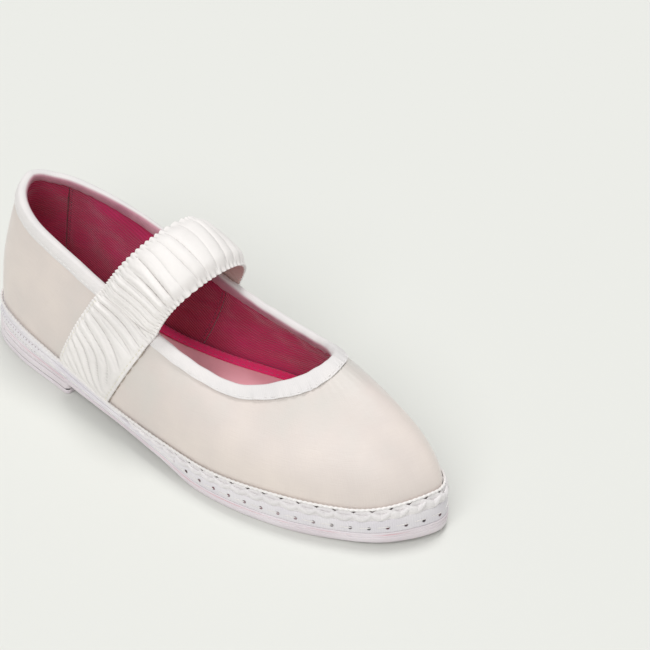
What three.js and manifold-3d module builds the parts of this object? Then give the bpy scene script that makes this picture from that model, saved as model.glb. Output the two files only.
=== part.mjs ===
// A right-foot Mary-Jane ballet slipper: satin upper on a stitched sole, with a ruched elastic strap.
// Millimetres, +Z up, +X to the toe, +Y to the medial (inner) side; the origin is under the shoe's middle.
// Upper pieces are shells between two offsets of one wall surface, so their layers stay parallel.
import * as THREE from "three";
import { mergeVertices } from "three/addons/utils/BufferGeometryUtils.js";
import Module from "manifold-3d";

const wasm = await Module();
wasm.setup();

// ---- Driving dimensions -------------------------------------------------------------------------

const CENTRE = [129.5, -3.4]; // middle of the finished shoe, measured from the back of the heel
const GAP = 0.3; // clearance between neighbouring pieces

// Outline of the outsole from above: from the back of the heel along the lateral side to the toe and back.
const SOLE_OUTLINE = [
  [0, 3.5], [7, -17.5], [28, -27.5], [60, -32.5], [94, -37.5], [130, -42.5], [165, -45.5],
  [195, -41.5], [222, -32], [246, -17.5], [259.5, 4], [253, 18.5], [235, 28.2], [207, 35],
  [179, 38.5], [149.5, 37], [114, 26.5], [85, 23], [55, 25], [27, 25.5], [8, 18],
];
const SOLE_TOE = 10; // which outline point is the toe

// Edge of the foot opening, in the same order.
const TOPLINE = [
  [10.5, 1.5, 85.4], [16.8, -12.3, 83.2], [33, -20.5, 78], [63, -22.7, 70], [100, -24.5, 60.6],
  [132, -26, 53.2], [162, -22.5, 50.4], [184.5, -10, 58.9], [191.5, 7.5, 64.3], [182, 20.5, 58.6],
  [163.5, 27.3, 53.3], [133, 27, 56.2], [101, 25.3, 63.2], [65, 25.2, 71.6], [35.5, 20.3, 78.6],
  [18, 12.3, 82.7],
];
const TOPLINE_THROAT = 8; // which topline point is the middle of the throat

// Heights along the length, as [x, z].
const OUTSOLE_UNDERSIDE = [
  [0, 6.5], [75, 6.5], [100, 6.5], [130, 4.4], [158, 0], [205, 0], [230, 0.9], [258, 2.7],
];
const SOLE_TOP = [
  [0, 21.7], [30, 19.9], [60, 16.5], [100, 13.1], [150, 14.3], [200, 18], [230, 19], [258, 25.6],
];
const OUTSOLE_SHARE = 0.3; // of the sole's edge height
const RAND_SHARE = 0.66; // top of the rand tape, as a share of the edge height
const HEEL_BREAST_X = 66; // front face of the heel
const TOP_PIECE_HEIGHT = 2.5;
// Above the outsole, the edge leans in round the toe.
const TOE_LEAN = { most: 2.4, middle: 0.53, reach: 0.1 };
// Extra foam at the waist.
const ARCH_LIFT = [[0, 0], [30, 0.7], [60, 2.5], [100, 3.7], [150, 0.5], [200, 0]];

const UPPER_INSET = 1.7; // the upper's foot stands this far in from the outline
const SATIN = [0, 0.8]; // depth of each layer under the outer surface
const STIFFENER = [1.1, 1.7];
const LINING = [2, 2.7];
const BINDING_GAP = 0.4;
const BINDING_THICKNESS = 0.6;
const BINDING_OUTER_LEG = { least: 4.9, more: 2.9, middle: 27, reach: 5 }; // widest at the lateral throat
const BINDING_INNER_LEG = { least: 2.6, more: 2.6, middle: 42, reach: 8 }; // widest at the medial throat
const BINDING_FOLD = { crest: 1.5, shoulder: 0.2, inside: 0.4 }; // heights of the fold above the topline

const COLUMNS = 64; // grid columns round the upper
const ROWS = 6; // grid rows from the sole to the topline
const ROW_SPREAD = 1.5; // above 1, rows are closer together near the sole
const LATERAL_SEAM = 12; // columns where pieces meet
const MEDIAL_SEAM = 47;
const BACK_SEAM = 64;
const LINING_HEEL_SEAMS = [5, 61];
const LINING_WAIST_SEAM = 50;
const COUNTER_COLUMNS = [-8, 8];
const COUNTER_TOP_ROW = 5;
const TOE_PUFF_COLUMNS = [25, 39];
const TOE_PUFF_TOP_ROW = 4;

// Columns that the side panels cover at the sole; the front edge has moved by `flare` at the topline.
const LATERAL_STRAP = { rear: 9.6, front: 13.5, flare: 0.55 };
const MEDIAL_STRAP = { rear: 54.1, front: 50, flare: -0.7 };
const STRAP_STANDOFF = 1.35; // strap's inner face above the satin, clear of the binding
const PANEL_THICKNESS = 1.6;
const SLEEVE_THICKNESS = 2.6;
const ELASTIC_THICKNESS = 0.8;
const ELASTIC_WIDTH_SHARE = 0.8;
const ARCH_REAR = { rise: 29.3, lean: 16 }; // crown of each strap edge above and ahead of its ends
const ARCH_FRONT = { rise: 23.2, lean: 9 };
const ARCH_CROWN = 3.4; // the band bows outwards this much between its edges

// Layers inside the sole: heights are measured from the sole's top line, and insets from its outline.
const SHANK = { x: [32, 152], width: 12, shift: 2, z: [-3.1, -1.9] };
const SHANK_SLOT_HEADROOM = 3;
const MIDSOLE = { inset: 4.5, top: -1.9 };
const FOOTBED_INSET = { side: 5.2, toe: 7.6, from: 185, to: 230 }; // larger where the lining closes in
const BOARD = [-1.6, 0.2];
const FOAM = [0.5, 2.7];
const SOCK = [3, 4];
const SOCK_BAND = [4.3, 5];
const SOCK_BAND_WIDTH = 5.5;

// Pieces round the sole's edge, with insets from its outline.
const RAND_TAPE = { inset: 0.2, thickness: 1.4 };
const RAND_THREAD = { inset: -0.45, share: 0.48, radius: 0.3 };
const WELT_BRAID = { inset: 1.8, halfWidth: 1.8, below: 0.4 };
const WELT_PIPING = { inset: 0.5, rise: 0.35, radius: 0.55 };

// ---- Curves -------------------------------------------------------------------------------------

// A closed curve read by s: 0 at the heel, 0.5 at the toe, even by length within each half.
function heelToToe(points, toeIndex) {
  const vectors = points.map(([x, y, z = 0]) => new THREE.Vector3(x, y, z));
  const curve = new THREE.CatmullRomCurve3(vectors, true, "catmullrom", 0.5);
  curve.arcLengthDivisions = points.length * 50;
  const lengths = curve.getLengths();
  const toe = lengths[toeIndex * 50] / lengths[lengths.length - 1];
  return (s) => {
    const turn = s - Math.floor(s);
    const u = turn < 0.5 ? 2 * turn * toe : toe + (2 * turn - 1) * (1 - toe);
    return curve.getPointAt(u);
  };
}

// A smooth height through [x, z] knots that never overshoots them.
function profile(knots) {
  const secant = knots.slice(1).map(([x, z], i) => (z - knots[i][1]) / (x - knots[i][0]));
  const slope = knots.map((_, i) => {
    if (i === 0) return secant[0];
    if (i === secant.length) return secant[i - 1];
    const [a, b] = [secant[i - 1], secant[i]];
    return a * b <= 0 ? 0 : (2 * a * b) / (a + b);
  });
  return (x) => {
    const last = knots.length - 1;
    const at = THREE.MathUtils.clamp(x, knots[0][0], knots[last][0]);
    const i = Math.min(last - 1, knots.findLastIndex(([k]) => k <= at));
    const width = knots[i + 1][0] - knots[i][0];
    const u = (at - knots[i][0]) / width;
    const rise = knots[i][1] * (1 - u) ** 2 * (1 + 2 * u) + knots[i + 1][1] * u * u * (3 - 2 * u);
    return rise + width * (slope[i] * u * (1 - u) ** 2 - slope[i + 1] * u * u * (1 - u));
  };
}

const outline = heelToToe(SOLE_OUTLINE, SOLE_TOE);
const topline = heelToToe(TOPLINE, TOPLINE_THROAT);
const underside = profile(OUTSOLE_UNDERSIDE);
const soleTop = profile(SOLE_TOP);
const archLift = profile(ARCH_LIFT);

// A point of the sole outline moved towards the middle of the shoe.
function insetOutline(s, inset) {
  const ahead = outline(s + 0.001).sub(outline(s - 0.001)).normalize();
  const inward = new THREE.Vector3(-ahead.y, ahead.x, 0);
  return outline(s).addScaledVector(inward, inset);
}

// Height at a share of the sole's edge: 0 is the outsole's underside and 1 is the sole's top line.
const edgeHeight = (x, share) => THREE.MathUtils.lerp(underside(x), soleTop(x), share);

// How far in from the outline the sole's top line stands.
function toeLean(s) {
  const away = Math.abs(s - Math.floor(s) - TOE_LEAN.middle) / TOE_LEAN.reach;
  return TOE_LEAN.most * Math.cos((Math.PI / 2) * Math.min(1, away)) ** 2;
}

// A point of the sole's edge at a height, with the lean that the edge has reached there.
function edgePoint(s, inset, z) {
  const { x } = outline(s);
  const low = edgeHeight(x, OUTSOLE_SHARE);
  const share = THREE.MathUtils.clamp((z - low) / (soleTop(x) - low), 0, 1);
  return insetOutline(s, inset + toeLean(s) * share).setZ(z);
}

// ---- The upper's wall ---------------------------------------------------------------------------

// 1 over the vamp and 0 at the sides and the heel; it reaches further back on the lateral side.
function vampWeight(s) {
  const fromToe = s - Math.floor(s) - 0.5;
  const [reach, fade] = fromToe < 0 ? [0.26, 0.24] : [0.2, 0.2];
  return THREE.MathUtils.smoothstep(reach - Math.abs(fromToe), 0, fade);
}

// The s at the topline that faces s at the sole: columns crowd towards the throat and fan out to the toe.
function edgeShare(s) {
  const half = s < 0.5 ? 2 * s : 2 - 2 * s;
  const share = half + 0.7 * half * half * (1 - half);
  return s < 0.5 ? share / 2 : 1 - share / 2;
}

// Grid columns lean forwards on their way up, by this much of s, where the strap crosses them.
function columnLean(column) {
  const bump = (middle) => Math.cos((Math.PI / 2) * Math.min(1, Math.abs(column - middle) / 11)) ** 2;
  return (2.8 * bump(11.5) - 3.3 * bump(52)) / COLUMNS;
}

// The wall's outer surface: t is 0 at the sole and 1 at the topline.
function wall(column, t) {
  const wrapped = ((column % COLUMNS) + COLUMNS) % COLUMNS;
  const s = wrapped / COLUMNS + columnLean(wrapped) * (t - 0.5);
  const foot = insetOutline(s, UPPER_INSET + toeLean(s));
  foot.z = soleTop(outline(s).x) + GAP;
  const edge = topline(edgeShare(s - Math.floor(s)));
  const weight = vampWeight(s);
  const mix = (side, vamp) => THREE.MathUtils.lerp(side, vamp, weight);
  const handle = (rise, run) => new THREE.Vector3(
    THREE.MathUtils.lerp(foot.x, edge.x, run),
    THREE.MathUtils.lerp(foot.y, edge.y, run),
    THREE.MathUtils.lerp(foot.z, edge.z, rise),
  );
  const low = handle(mix(0.38, 0.44), mix(-0.12, 0.05));
  const high = handle(mix(0.8, 0.81), mix(0.42, 0.52));
  return new THREE.CubicBezierCurve3(foot, low, high, edge).getPoint(t);
}

// The wall's outward normal.
function wallNormal(column, t) {
  const low = Math.max(0, t - 0.01);
  const high = Math.min(1, t + 0.01);
  const up = wall(column, high).sub(wall(column, low));
  const along = wall(column + 0.05, t).sub(wall(column - 0.05, t));
  return along.cross(up).normalize();
}

const wallPoint = (column, t, depth) => wall(column, t).addScaledVector(wallNormal(column, t), -depth);

// The way along the topline at a column.
const edgeAlong = (column) => wall(column + 0.05, 1).sub(wall(column - 0.05, 1)).normalize();

// The part of a vector that is square to the topline at a column.
function squareToEdge(vector, column) {
  const along = edgeAlong(column);
  return vector.clone().addScaledVector(along, -vector.dot(along));
}

const rowHeight = (row) => (row / ROWS) ** ROW_SPREAD;

// A point up to `distance` below the topline, on the straight facets of the wall's top row.
function belowTopline(column, distance, depth) {
  const edge = wallPoint(column, 1, depth);
  const rowBelow = wallPoint(column, rowHeight(ROWS - 1), depth);
  const fall = squareToEdge(rowBelow.clone().sub(edge), column).length();
  return edge.lerp(rowBelow, Math.min(0.95, distance / fall));
}

// ---- Solids -------------------------------------------------------------------------------------

// A closed geometry from vertices and triangles, turned so that its faces point out.
function closedGeometry(points, triangles) {
  const volume = triangles.reduce((sum, [a, b, c]) => {
    const normal = new THREE.Vector3().crossVectors(points[b], points[c]);
    return sum + points[a].dot(normal);
  }, 0);
  const facing = volume < 0 ? triangles.map(([a, b, c]) => [a, c, b]) : triangles;
  const geometry = new THREE.BufferGeometry().setFromPoints(points);
  geometry.setIndex(facing.flat());
  return geometry;
}

// Two triangles for each cell of a rows-by-columns grid of vertices numbered by `at`.
function gridTriangles(rows, columns, at) {
  const triangles = [];
  for (let i = 0; i < rows; i++) {
    for (let j = 0; j < columns; j++) {
      triangles.push([at(i, j), at(i + 1, j), at(i + 1, j + 1)]);
      triangles.push([at(i, j), at(i + 1, j + 1), at(i, j + 1)]);
    }
  }
  return triangles;
}

// A closed band: sections are rings of points, joined in order. A looped band has no ends.
function bandGeometry(sections, looped) {
  const around = sections[0].length;
  const points = sections.flat();
  const at = (i, j) => (i % sections.length) * around + (j % around);
  const triangles = gridTriangles(looped ? sections.length : sections.length - 1, around, at);
  if (!looped) {
    for (let j = 1; j < around - 1; j++) {
      triangles.push([at(0, 0), at(0, j), at(0, j + 1)]);
      const end = sections.length - 1;
      triangles.push([at(end, 0), at(end, j + 1), at(end, j)]);
    }
  }
  return closedGeometry(points, triangles);
}

// A closed panel between two grids of points with the same shape.
function panelGeometry(outer, inner) {
  const rows = outer.length - 1;
  const columns = outer[0].length - 1;
  const size = (rows + 1) * (columns + 1);
  const points = [...outer.flat(), ...inner.flat()];
  const front = (i, j) => i * (columns + 1) + j;
  const back = (i, j) => size + front(i, j);
  const triangles = gridTriangles(rows, columns, front);
  gridTriangles(rows, columns, back).forEach(([a, b, c]) => triangles.push([a, c, b]));
  const rim = [];
  for (let j = 0; j < columns; j++) rim.push([0, j]);
  for (let i = 0; i < rows; i++) rim.push([i, columns]);
  for (let j = columns; j > 0; j--) rim.push([rows, j]);
  for (let i = rows; i > 0; i--) rim.push([i, 0]);
  rim.forEach(([i, j], k) => {
    const [m, n] = rim[(k + 1) % rim.length];
    triangles.push([front(i, j), front(m, n), back(m, n)], [front(i, j), back(m, n), back(i, j)]);
  });
  return closedGeometry(points, triangles);
}

function toSolid(geometry) {
  const bare = new THREE.BufferGeometry().setAttribute("position", geometry.getAttribute("position"));
  bare.setIndex(geometry.getIndex());
  const merged = mergeVertices(bare, 1e-4);
  const vertProperties = new Float32Array(merged.attributes.position.array);
  const triVerts = new Uint32Array(merged.index.array);
  return new wasm.Manifold(new wasm.Mesh({ numProp: 3, vertProperties, triVerts }));
}

function fromSolid(solid) {
  const mesh = solid.getMesh();
  const geometry = new THREE.BufferGeometry();
  geometry.setAttribute("position", new THREE.Float32BufferAttribute(mesh.vertProperties, 3));
  geometry.setIndex([...mesh.triVerts]);
  return geometry;
}

const cut = (body, tool) => fromSolid(toSolid(body).subtract(toSolid(tool)));

function box(low, high) {
  const size = high.map((v, k) => v - low[k]);
  const middle = high.map((v, k) => (v + low[k]) / 2);
  return new THREE.BoxGeometry(...size).translate(...middle);
}

// ---- Sole pieces --------------------------------------------------------------------------------

// A sheet that fills the outline less inset(x), drawn as ribs from the lateral side to the medial side.
function soleSheet({ inset, bottom, top, lean = 1, ribs = 34 }) {
  const [from, to] = [0.004, 0.496];
  const sections = [];
  for (let i = 0; i <= ribs; i++) {
    const s = THREE.MathUtils.lerp(from, to, (1 - Math.cos((Math.PI * i) / ribs)) / 2);
    const [lateral, medial] = [s, 1 - s].map((side) =>
      insetOutline(side, inset(outline(side).x) + lean * toeLean(side)));
    const at = (p, height) => new THREE.Vector3(p.x, p.y, height(p.x));
    sections.push([at(lateral, bottom), at(medial, bottom), at(medial, top), at(lateral, top)]);
  }
  return bandGeometry(sections, false);
}

// A loop round the sole whose section is given by outline inset and height at each station.
function soleLoop(sectionAt, stations = COLUMNS) {
  const sections = [];
  for (let i = 0; i < stations; i++) {
    const s = i / stations;
    const x = outline(s).x;
    sections.push(sectionAt(x).map(([inset, z]) => edgePoint(s, inset, z)));
  }
  return bandGeometry(sections, true);
}

// A round or oval cord section as [inset, z] points.
function ovalSection(inset, z, halfWidth, halfHeight, sides) {
  return Array.from({ length: sides }, (_, k) => {
    const turn = (2 * Math.PI * k) / sides;
    return [inset + halfWidth * Math.cos(turn), z + halfHeight * Math.sin(turn)];
  });
}

const above = (offset) => (x) => soleTop(x) + offset;
const aboveArch = (offset) => (x) => soleTop(x) + archLift(x) + offset;
const flat = (value) => () => value;

function heelPart(bottom, top) {
  const sheet = soleSheet({ inset: flat(0), bottom, top, lean: 0, ribs: 40 });
  return cut(sheet, box([HEEL_BREAST_X, -80, -10], [300, 80, 60]));
}

const heelTopPiece = () => heelPart(flat(0), flat(TOP_PIECE_HEIGHT));
const heelBlock = () => heelPart(flat(TOP_PIECE_HEIGHT + GAP), (x) => underside(x) - GAP);

function outsole() {
  const top = (x) => edgeHeight(x, OUTSOLE_SHARE);
  return soleSheet({ inset: flat(0), bottom: underside, top, lean: 0, ribs: 44 });
}

// The bar along the waist, or with a margin, the slot that it lies in.
function shankBar(margin = 0, headroom = 0) {
  const steps = 12;
  const middle = (outline(0.25).y + outline(0.75).y) / 2 + SHANK.shift;
  const half = SHANK.width / 2 + margin;
  const sections = Array.from({ length: steps + 1 }, (_, i) => {
    const x = THREE.MathUtils.lerp(SHANK.x[0] - margin, SHANK.x[1] + margin, i / steps);
    const low = soleTop(x) + SHANK.z[0] - margin;
    const high = soleTop(x) + SHANK.z[1] + headroom;
    return [[-half, low], [half, low], [half, high], [-half, high]].map(
      ([y, z]) => new THREE.Vector3(x, middle + y, z));
  });
  return bandGeometry(sections, false);
}

function midsole() {
  const bottom = (x) => edgeHeight(x, OUTSOLE_SHARE) + GAP;
  const sheet = soleSheet({ inset: flat(MIDSOLE.inset), bottom, top: above(MIDSOLE.top) });
  return cut(sheet, shankBar(GAP, SHANK_SLOT_HEADROOM));
}

function footbedInset(x) {
  const { side, toe, from, to } = FOOTBED_INSET;
  return THREE.MathUtils.lerp(side, toe, THREE.MathUtils.smoothstep(x, from, to));
}

function footbedLayer([low, high], bottomAt, topAt) {
  return soleSheet({ inset: footbedInset, bottom: bottomAt(low), top: topAt(high) });
}

function sockBand() {
  const [low, high] = SOCK_BAND.map(aboveArch);
  return soleLoop((x) => {
    const outer = footbedInset(x);
    const inner = outer + SOCK_BAND_WIDTH;
    return [[outer, low(x)], [inner, low(x)], [inner, high(x)], [outer, high(x)]];
  });
}

function randTape() {
  const outer = RAND_TAPE.inset;
  const inner = outer + RAND_TAPE.thickness;
  return soleLoop((x) => {
    const low = edgeHeight(x, OUTSOLE_SHARE) + GAP;
    const high = edgeHeight(x, RAND_SHARE);
    return [[outer, low], [inner, low], [inner, high], [outer, high]];
  });
}

function weltBraid() {
  const { inset, halfWidth, below } = WELT_BRAID;
  return soleLoop((x) => {
    const low = edgeHeight(x, RAND_SHARE) + GAP;
    const high = soleTop(x) - below;
    return ovalSection(inset, (low + high) / 2, halfWidth, (high - low) / 2, 8);
  });
}

function weltPiping() {
  const { inset, rise, radius } = WELT_PIPING;
  return soleLoop((x) => ovalSection(inset, soleTop(x) + rise, radius, radius, 6));
}

function randThread() {
  const { inset, share, radius } = RAND_THREAD;
  return soleLoop((x) => ovalSection(inset, edgeHeight(x, share), radius, radius, 5));
}

// ---- Upper pieces -------------------------------------------------------------------------------

// A shell of the wall from one column to another, between two depths and up to a grid row.
function shell(columns, depths, topRow = ROWS) {
  const [first, last] = columns;
  const stops = [first + 0.02];
  for (let c = Math.floor(first) + 1; c < last; c++) stops.push(c);
  stops.push(last - 0.02);
  const grid = (depth) => stops.map((column) =>
    Array.from({ length: topRow + 1 }, (_, j) => wallPoint(column, rowHeight(j), depth)));
  return panelGeometry(grid(depths[0]), grid(depths[1]));
}

// How far a leg of the binding reaches down from the topline at a column.
function bindingLeg({ least, more, middle, reach }, column) {
  return least + more * Math.exp(-(((column - middle) / reach) ** 2));
}

// The folded tape that covers the topline: down the outside, over the edge and down the inside.
function toplineBinding() {
  const outerFace = -(BINDING_GAP + BINDING_THICKNESS);
  const innerFace = LINING[1] + BINDING_GAP + BINDING_THICKNESS;
  const middle = LINING[1] / 2;
  const { crest, shoulder, inside } = BINDING_FOLD;
  const sections = [];
  for (let column = 0; column < COLUMNS; column++) {
    const outerLeg = bindingLeg(BINDING_OUTER_LEG, column);
    const innerLeg = bindingLeg(BINDING_INNER_LEG, column);
    const edge = wall(column, 1);
    const up = squareToEdge(edge.clone().sub(wall(column, 0.97)), column).normalize();
    const out = wallNormal(column, 1);
    const over = (depth, rise) => edge.clone().addScaledVector(out, -depth).addScaledVector(up, rise);
    sections.push([
      over(-BINDING_GAP, inside),
      over(LINING[1] + BINDING_GAP, inside),
      belowTopline(column, innerLeg, LINING[1] + BINDING_GAP),
      belowTopline(column, innerLeg, innerFace),
      over(innerFace, shoulder),
      over(middle, crest),
      over(outerFace, shoulder),
      belowTopline(column, outerLeg, outerFace),
      belowTopline(column, outerLeg, -BINDING_GAP),
    ]);
  }
  return bandGeometry(sections, true);
}

// ---- Strap --------------------------------------------------------------------------------------

// The grid column at v across the strap, from 0 at its rear edge to 1 at its front edge.
const strapColumn = ({ rear, front, flare }, v, t) => THREE.MathUtils.lerp(rear, front + flare * t, v);

// A side panel of the strap.
function strapPanel(side) {
  const grid = (depth) => Array.from({ length: 9 }, (_, i) =>
    Array.from({ length: 7 }, (_, j) => {
      const t = THREE.MathUtils.lerp(0.03, 1, j / 6);
      return wallPoint(strapColumn(side, i / 8, t), t, depth);
    }));
  return panelGeometry(grid(-STRAP_STANDOFF - PANEL_THICKNESS), grid(-STRAP_STANDOFF));
}

// The arch between the two panels: u is 0 at the lateral end and 1 at the medial end.
function archPoint(u, v, height) {
  const end = (side) => wallPoint(strapColumn(side, v, 1), 1, -STRAP_STANDOFF - height);
  const across = (1 - Math.cos(Math.PI * u)) / 2;
  const swell = Math.sin(Math.PI * u) ** 0.7;
  const point = end(LATERAL_STRAP).lerp(end(MEDIAL_STRAP), across);
  const crown = ARCH_CROWN * (1 - (2 * v - 1) ** 2) * Math.sin(Math.PI * u);
  point.z += THREE.MathUtils.lerp(ARCH_REAR.rise, ARCH_FRONT.rise, v) * swell + GAP;
  point.x += THREE.MathUtils.lerp(ARCH_REAR.lean, ARCH_FRONT.lean, v) * swell;
  point.y -= crown * Math.cos(Math.PI * u);
  point.z += crown * Math.sin(Math.PI * u);
  return point;
}

// The arch's outward direction.
function archNormal(u, v) {
  const at = (a, b) => archPoint(a, b, 0);
  const across = at(Math.min(1, u + 0.01), v).sub(at(Math.max(0, u - 0.01), v));
  const along = at(u, Math.min(1, v + 0.05)).sub(at(u, Math.max(0, v - 0.05)));
  return along.cross(across).normalize();
}

// A band that follows the arch, between two heights above its inner face.
function archBand(heights, edges, span) {
  const steps = 24;
  const across = 4;
  const sections = Array.from({ length: steps + 1 }, (_, i) => {
    const u = THREE.MathUtils.lerp(span[0], span[1], i / steps);
    const side = (height, order) => order.map((k) => {
      const v = THREE.MathUtils.lerp(edges[0], edges[1], k / across);
      return archPoint(u, v, 0).addScaledVector(archNormal(u, v), height);
    });
    return [...side(heights[0], [0, 1, 2, 3, 4]), ...side(heights[1], [4, 3, 2, 1, 0])];
  });
  return bandGeometry(sections, false);
}

const ELASTIC_BASE = (SLEEVE_THICKNESS - ELASTIC_THICKNESS) / 2;
const ELASTIC_EDGES = [(1 - ELASTIC_WIDTH_SHARE) / 2, (1 + ELASTIC_WIDTH_SHARE) / 2];

function strapElastic() {
  return archBand([ELASTIC_BASE, ELASTIC_BASE + ELASTIC_THICKNESS], ELASTIC_EDGES, [0.02, 0.98]);
}

function strapSleeve() {
  const outer = archBand([0, SLEEVE_THICKNESS], [0, 1], [0.005, 0.995]);
  const slotEdges = [ELASTIC_EDGES[0] - 0.02, ELASTIC_EDGES[1] + 0.02];
  const slot = archBand([ELASTIC_BASE - GAP, ELASTIC_BASE + ELASTIC_THICKNESS + GAP], slotEdges, [0, 1]);
  return cut(outer, slot);
}

// ---- Assembly -----------------------------------------------------------------------------------

const finish = (color, roughness, metalness = 0) => ({ color, roughness, metalness });
const PEARL_SATIN = finish(0xe9e2d9, 0.45);
const WHITE_TAPE = finish(0xf3f1f0, 0.8);
const WHITE_RUCHING = finish(0xf4f3ee, 0.6);
const WHITE_THREAD = finish(0xf5f4f2, 0.7);
const WHITE_RUBBER = finish(0xeae6ea, 0.55);
const RASPBERRY_TWILL = finish(0x8a2343, 0.85);
const PINK_SOCK = finish(0xe59aa4, 0.7);
const RASPBERRY_BAND = finish(0xcf2f66, 0.8);
const FOAM_WHITE = finish(0xf0ead8, 0.9);
const BOARD_BROWN = finish(0xb79a72, 0.9);
const STIFFENER_GREY = finish(0xd8d4ca, 0.85);
const SPRING_STEEL = finish(0x9aa0a6, 0.35, 1);

const slipper = new THREE.Group();
slipper.position.set(-CENTRE[0], -CENTRE[1], 0);

function piece(name, geometry, look) {
  const mesh = new THREE.Mesh(geometry, new THREE.MeshStandardMaterial(look));
  mesh.name = name;
  slipper.add(mesh);
}

piece("heel_top_piece", heelTopPiece(), WHITE_RUBBER);
piece("heel_block", heelBlock(), WHITE_RUBBER);
piece("outsole", outsole(), WHITE_RUBBER);
piece("midsole", midsole(), FOAM_WHITE);
piece("shank", shankBar(), SPRING_STEEL);
piece("insole_board", footbedLayer(BOARD, above, above), BOARD_BROWN);
piece("footbed_foam", footbedLayer(FOAM, above, aboveArch), FOAM_WHITE);
piece("insole_sock", footbedLayer(SOCK, aboveArch, aboveArch), PINK_SOCK);
piece("sock_binding", sockBand(), RASPBERRY_BAND);
piece("rand_tape", randTape(), WHITE_TAPE);
piece("rand_stitch_thread", randThread(), WHITE_THREAD);
piece("welt_braid", weltBraid(), WHITE_THREAD);
piece("welt_piping", weltPiping(), WHITE_THREAD);

piece("vamp", shell([LATERAL_SEAM, MEDIAL_SEAM], SATIN), PEARL_SATIN);
piece("lateral_quarter", shell([0, LATERAL_SEAM], SATIN), PEARL_SATIN);
piece("medial_quarter", shell([MEDIAL_SEAM, BACK_SEAM], SATIN), PEARL_SATIN);
piece("toe_puff", shell(TOE_PUFF_COLUMNS, STIFFENER, TOE_PUFF_TOP_ROW), STIFFENER_GREY);
piece("heel_counter", shell(COUNTER_COLUMNS, STIFFENER, COUNTER_TOP_ROW), STIFFENER_GREY);
piece("lateral_interlining", shell([8, 25], STIFFENER), STIFFENER_GREY);
piece("medial_interlining", shell([39, 56], STIFFENER), STIFFENER_GREY);
piece("vamp_lining", shell([LATERAL_SEAM, LINING_WAIST_SEAM], LINING), RASPBERRY_TWILL);
piece("lateral_lining", shell([LINING_HEEL_SEAMS[0], LATERAL_SEAM], LINING), RASPBERRY_TWILL);
piece("medial_lining", shell([LINING_WAIST_SEAM, LINING_HEEL_SEAMS[1]], LINING), RASPBERRY_TWILL);
const heelLiningColumns = [LINING_HEEL_SEAMS[1] - COLUMNS, LINING_HEEL_SEAMS[0]];
piece("heel_lining", shell(heelLiningColumns, LINING), RASPBERRY_TWILL);
piece("topline_binding", toplineBinding(), WHITE_TAPE);

piece("strap_panel_lateral", strapPanel(LATERAL_STRAP), WHITE_RUCHING);
piece("strap_panel_medial", strapPanel(MEDIAL_STRAP), WHITE_RUCHING);
piece("strap_sleeve", strapSleeve(), WHITE_RUCHING);
piece("strap_elastic", strapElastic(), WHITE_TAPE);

export default slipper;
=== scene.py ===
"""Looks for a satin Mary-Jane ballet slipper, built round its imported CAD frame.

All shapes are worked out in millimetres in a modelling frame whose x = 0 is the back of the heel, with +X to
the toe, +Y to the medial side and +Z up. CENTRE moves them to the row frame, and metres() converts them.
"""

import math

import bmesh
import bpy
import numpy as np
from mathutils import Matrix

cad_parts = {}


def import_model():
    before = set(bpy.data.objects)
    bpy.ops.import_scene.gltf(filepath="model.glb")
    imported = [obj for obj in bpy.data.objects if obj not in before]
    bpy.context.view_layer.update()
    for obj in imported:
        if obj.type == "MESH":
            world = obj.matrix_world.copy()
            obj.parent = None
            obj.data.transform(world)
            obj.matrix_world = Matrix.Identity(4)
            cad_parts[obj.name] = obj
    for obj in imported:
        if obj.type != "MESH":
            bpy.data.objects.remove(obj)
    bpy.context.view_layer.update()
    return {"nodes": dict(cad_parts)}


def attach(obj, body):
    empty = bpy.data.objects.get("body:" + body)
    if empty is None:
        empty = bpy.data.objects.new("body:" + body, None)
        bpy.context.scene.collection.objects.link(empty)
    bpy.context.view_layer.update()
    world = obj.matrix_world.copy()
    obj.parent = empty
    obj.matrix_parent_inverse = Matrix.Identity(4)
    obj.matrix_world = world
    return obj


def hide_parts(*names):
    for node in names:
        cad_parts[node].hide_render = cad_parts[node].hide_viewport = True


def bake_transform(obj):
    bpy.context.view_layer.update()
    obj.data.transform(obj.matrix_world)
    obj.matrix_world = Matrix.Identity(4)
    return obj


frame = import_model()

# ---- Driving dimensions: the CAD part's own curves and layers ------------------------------------

CENTRE = np.array([129.5, -3.4, 0.0])
GAP = 0.3

SOLE_OUTLINE = [
    (0, 3.5), (7, -17.5), (28, -27.5), (60, -32.5), (94, -37.5), (130, -42.5), (165, -45.5),
    (195, -41.5), (222, -32), (246, -17.5), (259.5, 4), (253, 18.5), (235, 28.2), (207, 35),
    (179, 38.5), (149.5, 37), (114, 26.5), (85, 23), (55, 25), (27, 25.5), (8, 18),
]
SOLE_TOE = 10
TOPLINE = [
    (10.5, 1.5, 85.4), (16.8, -12.3, 83.2), (33, -20.5, 78), (63, -22.7, 70), (100, -24.5, 60.6),
    (132, -26, 53.2), (162, -22.5, 50.4), (184.5, -10, 58.9), (191.5, 7.5, 64.3), (182, 20.5, 58.6),
    (163.5, 27.3, 53.3), (133, 27, 56.2), (101, 25.3, 63.2), (65, 25.2, 71.6), (35.5, 20.3, 78.6),
    (18, 12.3, 82.7),
]
TOPLINE_THROAT = 8
OUTSOLE_UNDERSIDE = [(0, 6.5), (75, 6.5), (100, 6.5), (130, 4.4), (158, 0), (205, 0), (230, 0.9), (258, 2.7)]
SOLE_TOP = [(0, 21.7), (30, 19.9), (60, 16.5), (100, 13.1), (150, 14.3), (200, 18), (230, 19), (258, 25.6)]
OUTSOLE_SHARE = 0.3
RAND_SHARE = 0.66
HEEL_BREAST_X = 66.0
TOP_PIECE_HEIGHT = 2.5
TOE_LEAN = (2.4, 0.53, 0.1)  # how far the sole's edge leans in at the toe, round which s, and its reach
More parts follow.
